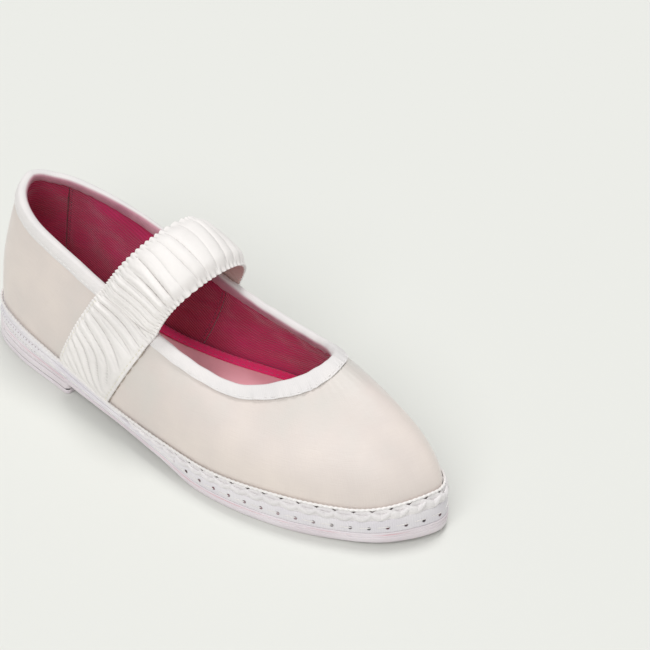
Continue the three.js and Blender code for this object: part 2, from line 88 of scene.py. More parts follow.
ARCH_LIFT = [(0, 0), (30, 0.7), (60, 2.5), (100, 3.7), (150, 0.5), (200, 0)]

UPPER_INSET = 1.7
SATIN_DEPTH = 0.8
LINING_DEPTHS = (2.0, 2.7)
BINDING_GAP = 0.4
BINDING_THICKNESS = 0.6
BINDING_OUTER_LEG = (4.9, 2.9, 27, 5)  # least reach, how much more, at which column, and over how many
BINDING_INNER_LEG = (2.6, 2.6, 42, 8)
COLUMNS = 64
LATERAL_SEAM, MEDIAL_SEAM, BACK_SEAM = 12, 47, 64
LINING_HEEL_SEAMS = (5, 61)
LINING_WAIST_SEAM = 50

LATERAL_STRAP = (9.6, 13.5, 0.55)  # rear column, front column at the sole, and its shift at the topline
MEDIAL_STRAP = (54.1, 50.0, -0.7)
STRAP_STANDOFF = 1.35
ARCH_REAR = (29.3, 16.0)
ARCH_FRONT = (23.2, 9.0)
ARCH_CROWN = 3.4

FOOTBED_INSET = (5.2, 7.6)  # at the sides and at the toe
SOCK_HEIGHTS = (3.0, 4.0)
BAND_WIDTH = 5.5
BAND_HEIGHTS = (4.3, 5.05)
HOLE_HEIGHT = 2.9  # of the rand's seam holes, up the tape
HOLE_PITCH = 8.5
DASH_SHARE = 0.475  # of the rand's stitches, up the sole's edge

# Each kind of stitch: its length, pitch, width and rise.
BINDING_STITCH = (2.3, 3.1, 0.4, 0.16)
LINING_STITCH = (2.0, 2.7, 0.5, 0.22)
SOCK_STITCH = (2.0, 2.9, 0.45, 0.2)
RAND_STITCH = (6.2, HOLE_PITCH, 0.6, 0.22)
STRAP_STITCH = (1.9, 2.8, 0.34, 0.16)
STRAP_EDGE_STITCH = (5.4, 5.6, 0.4, 0.2)

# ---- Small maths ---------------------------------------------------------------------------------


def lerp(a, b, share):
    return a + (b - a) * share


def smoothstep(x, low, high):
    u = np.clip((x - low) / (high - low), 0, 1)
    return u * u * (3 - 2 * u)


def bell(x, middle, reach):
    """1 at the middle, falling smoothly to 0 on both sides."""
    return np.exp(-(((x - middle) / reach) ** 2))


def shares(count):
    """Evenly spread shares of a closed loop."""
    return np.arange(count) / count


def turns(count):
    """Evenly spread angles round a full turn."""
    return 2 * math.pi * shares(count)


def unit(vectors):
    return vectors / np.maximum(np.linalg.norm(vectors, axis=-1, keepdims=True), 1e-9)


def running_length(points):
    """Distance along a polyline to each of its points."""
    steps = np.linalg.norm(np.diff(points, axis=0), axis=-1)
    return np.concatenate([np.zeros((1,) + steps.shape[1:]), np.cumsum(steps, axis=0)])


def ripples(seed, wavelength, waves=9):
    """A smooth random field over two coordinates in millimetres, about -1 to 1."""
    random = np.random.default_rng(seed)
    heading = random.uniform(0, 2 * math.pi, waves)
    phase = random.uniform(0, 2 * math.pi, waves)
    rate = 2 * math.pi / wavelength * random.uniform(0.6, 1.4, waves)

    def field(a, b):
        a, b = np.broadcast_arrays(a, b)
        total = np.zeros(a.shape)
        for h, p, k in zip(heading, phase, rate):
            total += np.sin(k * (a * math.cos(h) + b * math.sin(h)) + p)
        return total / (1.1 * math.sqrt(waves))

    return field


# ---- Curves of the shoe --------------------------------------------------------------------------


def closed_curve(points, toe):
    """A closed Catmull-Rom curve read by s: 0 at the heel, 0.5 at the toe, even by length in each half."""
    knots = np.array([list(p) + [0] * (3 - len(p)) for p in points], float)
    count = len(knots)

    def at(parameter):
        i = np.floor(parameter).astype(int)
        u = (parameter - i)[..., None]
        p0, p1, p2, p3 = (knots[(i + k) % count] for k in (-1, 0, 1, 2))
        square = 2 * p0 - 5 * p1 + 4 * p2 - p3
        cube = 3 * p1 - p0 - 3 * p2 + p3
        return 0.5 * (2 * p1 + (p2 - p0) * u + square * u**2 + cube * u**3)

    parameters = np.linspace(0, count, count * 50 + 1)
    lengths = running_length(at(parameters))
    toe_length = lengths[toe * 50]

    def by_share(s):
        turn = np.asarray(s, float) % 1
        out = 2 * turn * toe_length
        back = lerp(toe_length, lengths[-1], 2 * turn - 1)
        return at(np.interp(np.where(turn < 0.5, out, back), lengths, parameters))

    return by_share


def profile(knots):
    """A smooth height through (x, z) knots that never overshoots them."""
    xs, zs = np.array(knots, float).T
    secants = np.diff(zs) / np.diff(xs)
    before, after = secants[:-1], secants[1:]
    total = np.where(before + after == 0, 1, before + after)
    inner = np.where(before * after > 0, 2 * before * after / total, 0)
    slopes = np.concatenate([secants[:1], inner, secants[-1:]])

    def height(x):
        at = np.clip(x, xs[0], xs[-1])
        i = np.clip(np.searchsorted(xs, at, side="right") - 1, 0, len(xs) - 2)
        width = xs[i + 1] - xs[i]
        u = (at - xs[i]) / width
        rise = zs[i] * (1 - u) ** 2 * (1 + 2 * u) + zs[i + 1] * u * u * (3 - 2 * u)
        return rise + width * (slopes[i] * u * (1 - u) ** 2 - slopes[i + 1] * u * u * (1 - u))

    return height


outline = closed_curve(SOLE_OUTLINE, SOLE_TOE)
topline = closed_curve(TOPLINE, TOPLINE_THROAT)
underside = profile(OUTSOLE_UNDERSIDE)
sole_top = profile(SOLE_TOP)
arch_lift = profile(ARCH_LIFT)


def inset_outline(s, inset):
    """The sole outline moved towards the middle of the shoe."""
    s = np.asarray(s, float)
    ahead = unit(outline(s + 0.001) - outline(s - 0.001))
    inward = np.stack([-ahead[..., 1], ahead[..., 0], np.zeros(s.shape)], axis=-1)
    return outline(s) + inward * np.asarray(inset, float)[..., None]


def edge_height(x, share):
    """Height at a share of the sole's edge: 0 at the outsole's underside, 1 at the sole's top line."""
    return lerp(underside(x), sole_top(x), share)


def toe_lean(s):
    """How far in from the outline the sole's top line stands, round the toe."""
    most, middle, reach = TOE_LEAN
    away = np.abs(np.asarray(s) % 1 - middle) / reach
    return most * np.cos(math.pi / 2 * np.minimum(1, away)) ** 2


def edge_point(s, inset, z):
    """A point of the sole's edge at a height, with the lean that the edge has reached there."""
    s, inset, z = np.broadcast_arrays(*(np.asarray(v, float) for v in (s, inset, z)))
    x = outline(s)[..., 0]
    low = edge_height(x, OUTSOLE_SHARE)
    share = np.clip((z - low) / (sole_top(x) - low), 0, 1)
    points = inset_outline(s, inset + toe_lean(s) * share)
    points[..., 2] = z
    return points


def footbed_edge(s, further=0.0):
    """The footbed's outline, moved a further distance in."""
    inset = lerp(*FOOTBED_INSET, smoothstep(outline(s)[..., 0], 185, 230))
    return inset_outline(s, inset + toe_lean(s) + further)


def footbed_height(x, rise):
    """Height of a footbed layer: rise above the sole's top line, and above the extra foam at the waist."""
    return sole_top(x) + arch_lift(x) + rise


def edge_share(s):
    half = np.where(s < 0.5, 2 * s, 2 - 2 * s)
    share = half + 0.7 * half * half * (1 - half)
    return np.where(s < 0.5, share / 2, 1 - share / 2)


def column_lean(column):
    def bump(middle):
        return np.cos(math.pi / 2 * np.minimum(1, np.abs(column - middle) / 11)) ** 2

    return (2.8 * bump(11.5) - 3.3 * bump(52)) / COLUMNS


def wall(column, t):
    """The upper's outer surface: t is 0 at the sole and 1 at the topline."""
    column, t = np.broadcast_arrays(np.asarray(column, float), np.asarray(t, float))
    wrapped = column % COLUMNS
    s = wrapped / COLUMNS + column_lean(wrapped) * (t - 0.5)
    foot = inset_outline(s, UPPER_INSET + toe_lean(s))
    foot[..., 2] = sole_top(outline(s)[..., 0]) + GAP
    edge = topline(edge_share(s % 1))
    from_toe = s % 1 - 0.5
    lateral_weight = smoothstep(0.26 - np.abs(from_toe), 0, 0.24)
    weight = np.where(from_toe < 0, lateral_weight, smoothstep(0.2 - np.abs(from_toe), 0, 0.2))

    def handle(rise, run):
        share = np.stack([run, run, rise], axis=-1)
        return lerp(foot, edge, share)

    low = handle(lerp(0.38, 0.44, weight), lerp(-0.12, 0.05, weight))
    high = handle(lerp(0.8, 0.81, weight), lerp(0.42, 0.52, weight))
    u = t[..., None]
    return foot * (1 - u) ** 3 + 3 * low * u * (1 - u) ** 2 + 3 * high * u * u * (1 - u) + edge * u**3


def wall_normal(column, t):
    up = wall(column, t + 0.01) - wall(column, t - 0.01)
    along = wall(column + 0.05, t) - wall(column - 0.05, t)
    return unit(np.cross(along, up))


def wall_point(column, t, depth):
    """A point of the wall moved inwards by depth."""
    column, t, depth = np.broadcast_arrays(*(np.asarray(v, float) for v in (column, t, depth)))
    return wall(column, t) - wall_normal(column, t) * depth[..., None]


def height_below(columns, distances):
    """The t at each distance below the topline, measured square to it, as a columns-by-distances grid."""
    ts = np.linspace(1, 0.4, 61)
    points = wall(columns[:, None], ts[None, :])
    along = unit(wall(columns + 0.05, 1.0) - wall(columns - 0.05, 1.0))[:, None, :]
    steps = np.diff(points, axis=1)
    steps = steps - along * np.sum(steps * along, axis=-1, keepdims=True)
    falls = np.cumsum(np.linalg.norm(steps, axis=-1), axis=1)
    falls = np.concatenate([np.zeros((len(columns), 1)), falls], axis=1)
    wanted = np.broadcast_to(distances, (len(columns), np.shape(distances)[-1]))
    return np.stack([np.interp(distance, fall, ts) for distance, fall in zip(wanted, falls)])


def binding_leg(size, column):
    """How far a leg of the binding reaches down from the topline at a column."""
    least, more, middle, reach = size
    return least + more * bell(column, middle, reach)


# ---- Meshes --------------------------------------------------------------------------------------


def metres(points):
    return (np.asarray(points) - CENTRE) / 1000


def add_object(name, data):
    made = bpy.data.objects.new(name, data)
    bpy.context.scene.collection.objects.link(made)
    return made


def make_object(name, points, quads, uvs, looks, look_of_quad=None, crease=50):
    """A smooth-shaded object from points, quads and one UV for each corner, all in millimetres."""
    corners = points[quads]
    twist = np.cross(corners[:, 1] - corners[:, 0], corners[:, 2] - corners[:, 0])
    twist += np.cross(corners[:, 2] - corners[:, 0], corners[:, 3] - corners[:, 0])
    if np.sum(corners.mean(axis=1) * twist) < 0:
        quads, uvs = quads[:, ::-1], uvs[:, ::-1]
    mesh = bpy.data.meshes.new(name)
    mesh.from_pydata(metres(points).tolist(), [], quads.tolist())
    layer = mesh.uv_layers.new(name="pattern")
    layer.data.foreach_set("uv", np.ascontiguousarray(uvs, np.float32).ravel())
    for look in looks:
        mesh.materials.append(look)
    if look_of_quad is not None:
        mesh.polygons.foreach_set("material_index", np.asarray(look_of_quad, np.int32))
    weld = bmesh.new()
    weld.from_mesh(mesh)
    bmesh.ops.remove_doubles(weld, verts=weld.verts, dist=1e-6)
    bmesh.ops.dissolve_degenerate(weld, edges=weld.edges, dist=1e-7)
    weld.to_mesh(mesh)
    weld.free()
    mesh.polygons.foreach_set("use_smooth", np.ones(len(mesh.polygons), bool))
    mesh.set_sharp_from_angle(angle=math.radians(crease))
    return add_object(name, mesh)


def band(name, sections, looks, looped=False, reference=0, look_of_ring=None, crease=50, zero=0):
    """A closed solid whose sections are rings of points, joined in order. A looped band has no ends.

    The pattern runs along the reference point of each ring, and across from the zero point of each ring.
    """
    stations, around = sections.shape[:2]
    rows = stations if looped else stations - 1
    i, j = np.meshgrid(np.arange(rows), np.arange(around), indexing="ij")
    i, j = i.ravel(), j.ravel()
    above, beside = (i + 1) % stations, (j + 1) % around
    quads = np.stack([i * around + j, above * around + j, above * around + beside, i * around + beside], 1)
    closed = np.concatenate([sections, sections[:1]]) if looped else sections
    u = running_length(closed[:, reference])
    v = running_length(np.concatenate([sections, sections[:, :1]], axis=1).transpose(1, 0, 2)).T
    v = v - v[:, zero:zero + 1]
    v = np.concatenate([v, v[:1]]) if looped else v
    corner_i = np.stack([i, i + 1, i + 1, i], axis=1)
    corner_j = np.stack([j, j, j + 1, j + 1], axis=1)
    uvs = np.stack([u[corner_i], v[corner_i, corner_j]], axis=-1)
    rings = np.zeros(around, int) if look_of_ring is None else np.asarray(look_of_ring)
    look_of_quad = rings[j]
    if not looped:
        half = np.arange(around // 2 - 1)
        cap = np.stack([half, half + 1, around - 2 - half, around - 1 - half], axis=1)
        quads = np.concatenate([quads, cap[:, ::-1], cap + (stations - 1) * around])
        uvs = np.concatenate([uvs, np.zeros((2 * len(cap), 4, 2))])
        look_of_quad = np.concatenate([look_of_quad, np.zeros(2 * len(cap), int)])
    return make_object(name, sections.reshape(-1, 3), quads, uvs, looks, look_of_quad, crease)


def stitches(name, runs, look, kind):
    """A row of raised thread stitches along each run, a (points, normals) pair of arrays."""
    length, pitch, width, rise = kind
    rings, sides = 7, 6
    blocks = []
    for points, normals in runs:
        lengths = running_length(points)
        count = int((lengths[-1] - length) // pitch) + 1
        starts = (np.arange(count) + 0.5) * (lengths[-1] / count) - length / 2
        share = np.linspace(-1, 1, rings)
        at = starts[:, None] + (share + 1) / 2 * length
        middle = np.stack([np.interp(at, lengths, points[:, k]) for k in range(3)], axis=-1)
        out = unit(np.stack([np.interp(at, lengths, normals[:, k]) for k in range(3)], axis=-1))
        ahead = unit(np.gradient(middle, axis=1))
        side = unit(np.cross(out, ahead))
        swell = np.sqrt(np.maximum(0.03, 1 - share**4))[:, None, None]
        turn = turns(sides)[:, None]
        ring = out[:, :, None] * (np.cos(turn) * rise) + side[:, :, None] * (np.sin(turn) * width / 2)
        blocks.append(middle[:, :, None] + ring * swell)
    block = np.concatenate(blocks)
    count = len(block)
    base = (np.arange(count) * rings * sides)[:, None, None]
    i, j = np.meshgrid(np.arange(rings - 1), np.arange(sides), indexing="ij")
    beside = (j + 1) % sides
    quads = np.stack([base + i * sides + j, base + (i + 1) * sides + j,
                      base + (i + 1) * sides + beside, base + i * sides + beside], axis=-1).reshape(-1, 4)
    start = np.array([[0, 1, 2, 3], [0, 3, 4, 5]])
    end = start[:, ::-1] + (rings - 1) * sides
    caps = (np.concatenate([start, end])[None] + base).reshape(-1, 4)
    quads = np.concatenate([quads, caps])
    return make_object(name, block.reshape(-1, 3), quads, np.zeros((len(quads), 4, 2)), [look], crease=80)


# ---- Materials -----------------------------------------------------------------------------------


def srgb(red, green, blue):
    """A linear colour from 0 to 255 display values."""
    values = np.array([red, green, blue]) / 255
    linear = np.where(values <= 0.04045, values / 12.92, ((values + 0.055) / 1.055) ** 2.4)
    return (*linear, 1.0)


class Look:
    """A procedural material while its nodes are being wired. Colours are given as 0 to 255 display values."""

    def __init__(self, name, **sockets):
        self.material = bpy.data.materials.new(name)
        self.material.use_nodes = True
        self.tree = self.material.node_tree
        self.shader = self.tree.nodes["Principled BSDF"]
        for socket, value in sockets.items():
            self.shader.inputs[socket.replace("_", " ")].default_value = value

    def node(self, kind, inputs, output=0, **settings):
        made = self.tree.nodes.new("ShaderNode" + kind)
        for key, value in settings.items():
            setattr(made, key, value)
        for key, value in inputs.items():
            if isinstance(value, bpy.types.NodeSocket):
                self.tree.links.new(value, made.inputs[key])
            else:
                made.inputs[key].default_value = value
        return made.outputs[output]

    def math(self, operation, *values):
        return self.node("Math", dict(enumerate(values)), operation=operation)

    def times(self, first, second):
        return self.math("MULTIPLY", first, second)

    def between(self, value, none, full):
        """0 where the value is at `none`, 1 where it is at `full`, and even in between."""
        return self.node("MapRange", {"Value": value, "From Min": none, "From Max": full})

    def along_and_across(self):
        """The two pattern coordinates, in millimetres."""
        uv = self.node("UVMap", {}, uv_map="pattern")
        return [self.node("SeparateXYZ", {0: uv}, output=k) for k in (0, 1)]

    def place(self, stretch=(1, 1, 1)):
        """The point's place in the row frame, in metres, stretched for a noise."""
        where = self.node("TexCoord", {}, output="Object")
        return self.node("Mapping", {"Vector": where, "Scale": stretch})

    def toe_wards(self, none, full):
        """0 behind one place along the shoe and 1 ahead of another, as x in the modelling frame."""
        x = self.node("SeparateXYZ", {0: self.place()})
        return self.between(x, (none - CENTRE[0]) / 1000, (full - CENTRE[0]) / 1000)

    def noise(self, scale, detail=2.0, stretch=(1, 1, 1)):
        return self.node("TexNoise", {"Vector": self.place(stretch), "Scale": scale, "Detail": detail})

    def slubs(self, stretch, detail):
        """A noise over the pattern coordinates, stretched into threads."""
        uv = self.node("UVMap", {}, uv_map="pattern")
        vector = self.node("Mapping", {"Vector": uv, "Scale": stretch})
        return self.node("TexNoise", {"Vector": vector, "Scale": 1.0, "Detail": detail})

    def wave(self, distance, pitch):
        """A sine from 0 to 1 that repeats every pitch millimetres."""
        turns = self.times(distance, 2 * math.pi / pitch)
        return self.math("MULTIPLY_ADD", self.math("SINE", turns), 0.5, 0.5)

    def hollows(self, deep=0.42, shallow=0.495):
        """1 in the creases of the mesh, 0 on its flats and ridges."""
        return self.between(self.node("NewGeometry", {}, output="Pointiness"), shallow, deep)

    def mix(self, share, first, second):
        ends = [end if isinstance(end, bpy.types.NodeSocket) else srgb(*end) for end in (first, second)]
        return self.node("Mix", {0: share, 6: ends[0], 7: ends[1]}, output=2, data_type="RGBA")

    def ramp(self, share, *stops):
        made = self.tree.nodes.new("ShaderNodeValToRGB")
        self.tree.links.new(share, made.inputs[0])
        elements = made.color_ramp.elements
        while len(elements) < len(stops):
            elements.new(0.5)
        for element, (position, colour) in zip(elements, stops):
            element.position = position
            element.color = srgb(*colour)
        return made.outputs[0]

    def patches(self, scale, first, second, detail=2.0):
        """Soft patches of two colours; scale is the number of them in a metre."""
        return self.ramp(self.noise(scale, detail), (0.35, first), (0.65, second))

    def ribbed(self, rib, share, colour, shade):
        """A colour that takes a share of shade in the valleys between ribs."""
        return self.mix(self.times(self.math("SUBTRACT", 1.0, rib), share), colour, shade)

    def fuzzy(self, height, scale=900, share=0.4):
        return self.math("MULTIPLY_ADD", self.noise(scale), share, height)

    def bump(self, height, depth):
        """A normal from a height of 0 to 1, where 1 is depth millimetres."""
        return self.node("Bump", {"Height": height, "Distance": depth / 1000, "Strength": 1.0})

    def done(self, colour, normal=None, roughness=None):
        for socket, value in (("Base Color", colour), ("Normal", normal), ("Roughness", roughness)):
            if value is not None:
                self.tree.links.new(value, self.shader.inputs[socket])
        return self.material


TAPE_COLOURS = (227, 223, 228), (235, 232, 234)


def satin_look():
    """Pearl satin: faint slubs along and across the cloth, and a tint that drifts."""
    look = Look("pearl_satin", Sheen_Weight=0.35, Sheen_Roughness=0.35)
    tint = look.noise(21, 3)
    tint = look.ramp(tint, (0.32, (214, 210, 204)), (0.5, (221, 211, 205)), (0.68, (231, 220, 212)))
    slub = look.slubs((0.12, 2.2, 1), 3)
    cross = look.slubs((2.4, 0.1, 1), 2)
    thread = look.math("ADD", look.times(slub, 0.7), look.times(cross, 0.5))
    colour = look.mix(look.times(look.between(thread, 0.4, 0.75), 0.16), tint, (204, 192, 183))
    return look.done(colour, look.bump(thread, 0.12), look.math("MULTIPLY_ADD", slub, 0.16, 0.34))


def sock_tape_look():
    """Raspberry grosgrain with ribs across its width."""
    look = Look("raspberry_band", Roughness=0.72, Sheen_Weight=0.2)
    rib = look.wave(look.along_and_across()[0], 0.8)
    colour = look.ribbed(rib, 0.1, look.patches(60, (244, 36, 112), (250, 54, 126)), (178, 12, 70))
    return look.done(colour, look.bump(look.fuzzy(rib), 0.12))


def binding_look():
    """White tape outside, turning to the lining's reflected mauve on the leg inside the shoe."""
    look = Look("white_tape_binding", Roughness=0.7, Sheen_Weight=0.2)
    along, around = look.along_and_across()
    rib = look.wave(along, 0.85)
    outside = look.patches(70, (230, 226, 224), (223, 220, 219))
    inside = look.patches(90, (174, 112, 130), (190, 138, 150))
    inner_leg = look.math("SUBTRACT", look.between(around, 0.7, 1.9), look.between(around, 10.5, 12.0))
    colour = look.ribbed(rib, 0.06, look.mix(inner_leg, outside, inside), (196, 190, 192))
    return look.done(colour, look.bump(look.fuzzy(rib), 0.06))


def rand_look():
    """White tape round the sole, with painted shade in its rib valleys (more at the forefoot), and in its
    dark seam holes at the forefoot and two rows of pinpricks at the heel.
    """
    look = Look("white_tape_rand", Roughness=0.7, Sheen_Weight=0.15)
    along, around = look.along_and_across()
    fore = look.toe_wards(141.5, 145.5)
    heel = look.toe_wards(47.5, 43.5)

    def dots(height, pitch, radius):
        phase = look.math("PINGPONG", along, pitch / 2)
        across = look.math("SUBTRACT", around, height)
        distance = look.math("SQRT", look.math("ADD", look.times(phase, phase), look.times(across, across)))
        return look.between(distance, radius, radius * 0.6)

    rib = look.wave(along, 0.8)
    # Painted shade: the share of shade in the rib valleys, stronger at the forefoot.
    rib_shade_share = look.math("MULTIPLY_ADD", fore, 0.1, 0.05)
    tape = look.ribbed(rib, rib_shade_share, look.patches(50, *TAPE_COLOURS), (186, 180, 190))
    hole = look.times(dots(HOLE_HEIGHT, HOLE_PITCH, 1.0), fore)
    pricks = look.math("ADD", dots(HOLE_HEIGHT - 1.2, 2.3, 0.45), dots(HOLE_HEIGHT + 1.6, 2.3, 0.45))
    pricks = look.times(look.times(pricks, heel), 0.55)
    # Painted shade: the dark colour inside the seam holes and pinpricks.
    dark = look.ramp(look.noise(35), (0.4, (38, 34, 40)), (0.6, (120, 66, 78)))
    colour = look.mix(look.math("MAXIMUM", hole, pricks), tape, dark)
    height = look.math("SUBTRACT", look.times(rib, 0.6), look.times(hole, 3.0))
    return look.done(colour, look.bump(height, 0.15))


def welt_core_look():
    """The strip under the braid: white where it shows at the waist, and in shade behind the strands."""
    look = Look("welt_core", Roughness=0.75)
    white = look.patches(50, *TAPE_COLOURS)
    shade = look.patches(120, (112, 100, 104), (160, 150, 152))
    return look.done(look.mix(look.toe_wards(103.5, 115.5), white, shade), look.bump(look.noise(900), 0.06))


def cloth_look(name, colours, weave=0.45, depth=0.06, roughness=0.62, crease=None):
    """A fine plain weave with soft colour drift, and painted shade in its creases if a crease colour is
    given.
    """
    look = Look(name, Roughness=roughness, Sheen_Weight=0.3, Sheen_Roughness=0.4)
    along, around = look.along_and_across()
    threads = look.times(look.wave(along, weave), look.wave(around, weave))
    colour = look.patches(45, *colours, detail=3)
    if crease is not None:
        # Painted shade: the crease colour darkens the hollows of the mesh, where shade would fall.
        colour = look.mix(look.times(look.hollows(), 0.75), colour, crease)
    return look.done(colour, look.bump(look.fuzzy(threads, 700, 0.6), depth))


def twill_look():
    """Raspberry twill: fine lines that run nearly level round the inside of the shoe."""
    look = Look("raspberry_twill", Roughness=0.8, Sheen_Weight=0.35, Sheen_Roughness=0.5)
    along, around = look.along_and_across()
    line = look.wave(look.math("MULTIPLY_ADD", along, 0.1, around), 1.5)
    drift = look.ramp(look.noise(26, 3), (0.36, (158, 4, 58)), (0.64, (188, 20, 88)))
    colour = look.mix(look.times(line, 0.18), drift, (208, 62, 124))
    return look.done(colour, look.bump(look.fuzzy(line, 1100), 0.2))


def thread_look(name, colour, shade):
    """Cotton thread with fine strands of a second shade."""
    look = Look(name, Roughness=0.6, Sheen_Weight=0.3)
    strands = look.noise(1500, 2, (1, 1, 0.4))
    return look.done(look.mix(look.times(strands, 0.5), colour, shade), look.bump(strands, 0.1))


def rubber_look():
    """White rubber, slightly grimy, with a faint broken pink line where the pattern's across is zero."""
    look = Look("white_rubber", Coat_Weight=0.05)
    drift = look.patches(40, (224, 216, 220), (234, 229, 232), detail=3)
    colour = look.mix(look.times(look.noise(240, 4), 0.22), drift, (216, 200, 206))
    line = look.between(look.math("ABSOLUTE", look.along_and_across()[1]), 0.4, 0.15)
    broken = look.between(look.noise(55), 0.42, 0.6)
    colour = look.mix(look.times(look.times(line, broken), 0.45), colour, (216, 132, 144))
    rough = look.math("MULTIPLY_ADD", look.noise(300, 3), 0.25, 0.4)
    return look.done(colour, look.bump(look.noise(1200, 3), 0.05), rough)


def plain_look(name, light, dark, scale, depth, roughness, metallic=0.0):
    """A grainy finish for the pieces inside the shoe."""
    look = Look(name, Roughness=roughness, Metallic=metallic)
    grain = look.noise(scale, 4)
    return look.done(look.ramp(grain, (0.35, light), (0.65, dark)), look.bump(grain, depth))


satin = satin_look()
binding_tape = binding_look()
# The crease colour here is painted shade in the ruching's hollows.
ruching = cloth_look("white_ruching", ((245, 241, 238), (238, 234, 231)), roughness=0.55,
                     crease=(176, 172, 168))
# Painted shade and painted pink reflection of the lining: a darker pinkish copy of the ruching for the
# strap's inner face.
ruching_inside_painted_shade = cloth_look("ruching_inside_painted_shade", ((226, 196, 188), (212, 180, 174)), roughness=0.65)
twill = twill_look()
white_thread = thread_look("white_thread", (240, 237, 235), (216, 212, 210))
cream_thread = thread_look("cream_thread", (240, 236, 218), (206, 198, 170))
brown_thread = thread_look("brown_thread", (172, 156, 138), (120, 102, 86))
red_thread = thread_look("raspberry_thread", (150, 44, 80), (96, 18, 44))
band_thread = thread_look("band_thread", (224, 84, 132), (150, 24, 66))
# The crease colour here is painted shade between the braid's strands.
braid_cotton = cloth_look("braid_cotton", ((242, 238, 238), (232, 228, 229)), weave=0.7, depth=0.12,
                          roughness=0.7, crease=(180, 172, 174))
welt_core = welt_core_look()
rubber = rubber_look()
pink_sock = cloth_look("pink_sock", ((255, 192, 201), (250, 182, 192)), weave=0.6, depth=0.05)
raspberry_tape = sock_tape_look()

# ---- Upper ---------------------------------------------------------------------------------------

TUCK = -0.02  # how far the satin runs below the sole's top line, as a share of the wall
COLUMN_WIDTH = 9.0  # about how wide a column of the wall is, and how tall the wall
WALL_HEIGHT = 60.0


def cloth_place(column, t):
    """Round and up the wall in millimetres, near enough for folds."""
    return column * COLUMN_WIDTH, t * WALL_HEIGHT


def wall_shell(name, columns, outer_depth, inner_depth, look, rows=72, per_column=7, foot=TUCK):
    """A closed shell of the wall between two depths, each a function of column and t."""
    stations = int((columns[1] - columns[0]) * per_column) + 1
    column = np.linspace(columns[0] + 0.02, columns[1] - 0.02, stations)[:, None]
    t = np.linspace(foot, 1, rows)[None, :]
    outer = wall_point(column, t, outer_depth(column, t))
    inner = wall_point(column, t, inner_depth(column, t))
    return band(name, np.concatenate([outer, inner[:, ::-1]], axis=1), [look], reference=rows // 3)


broad_swell = ripples(11, 70)
small_crease = ripples(12, 22)


def satin_depth(column, t):
    """The satin's outer face: broad soft swells, and small gathers where the binding pulls at the throat."""
    around, up = cloth_place(column, t)
    body = smoothstep(t, 0.04, 0.3) * (1 - smoothstep(t, 0.8, 0.93))
    swell = 0.22 * broad_swell(around, up) + 0.07 * small_crease(around, up * 0.6)
    pull = bell(t, 0.86, 0.07) * bell(column, 31, 11)
    gather = 0.05 * np.sin(column * 7.3 + 1.7 * small_crease(around * 0.7, 0 * up))
    return -(swell * body + gather * pull)


def flat_depth(depth):
    return lambda column, t: np.full(np.broadcast(column, t).shape, depth)


def satin_piece(name, columns, rows=72):
    return wall_shell(name, columns, satin_depth, flat_depth(SATIN_DEPTH), satin, rows)


vamp = satin_piece("vamp_satin", (LATERAL_SEAM, MEDIAL_SEAM), rows=84)
lateral_quarter = satin_piece("lateral_quarter_satin", (0, LATERAL_SEAM))
medial_quarter = satin_piece("medial_quarter_satin", (MEDIAL_SEAM, BACK_SEAM))

lining_rumple = ripples(21, 46)
lining_crumple = ripples(22, 17)
lining_wrinkle = ripples(23, 8)


def lining_depth(column, t):
    """The lining's inner face, rumpled towards the foot between its seams."""
    around, up = cloth_place(column, t)
    body = smoothstep(t, 0.12, 0.35) * (1 - smoothstep(t, 0.78, 0.9))
    rumple = 0.5 + 0.5 * lining_rumple(around, up)
    crumple = 0.5 + 0.5 * lining_crumple(around, up)
    wrinkle = 0.5 + 0.5 * lining_wrinkle(around * 0.5, up)
    seams = 1.0
    for seam in (*LINING_HEEL_SEAMS, LATERAL_SEAM, LINING_WAIST_SEAM):
        seams = seams * (1 - bell(column, seam, 0.35))
    return LINING_DEPTHS[1] + body * seams * (1.1 * rumple + 0.6 * crumple + 0.2 * wrinkle)


def lining_piece(name, columns):
    return wall_shell(name, columns, flat_depth(LINING_DEPTHS[0]), lining_depth, twill, rows=56, per_column=5,
                      foot=0.0)


vamp_lining = lining_piece("vamp_lining_twill", (LATERAL_SEAM, LINING_WAIST_SEAM))
lateral_lining = lining_piece("lateral_lining_twill", (LINING_HEEL_SEAMS[0], LATERAL_SEAM))
medial_lining = lining_piece("medial_lining_twill", (LINING_WAIST_SEAM, LINING_HEEL_SEAMS[1]))
heel_lining = lining_piece("heel_lining_twill", (LINING_HEEL_SEAMS[1] - COLUMNS, LINING_HEEL_SEAMS[0]))


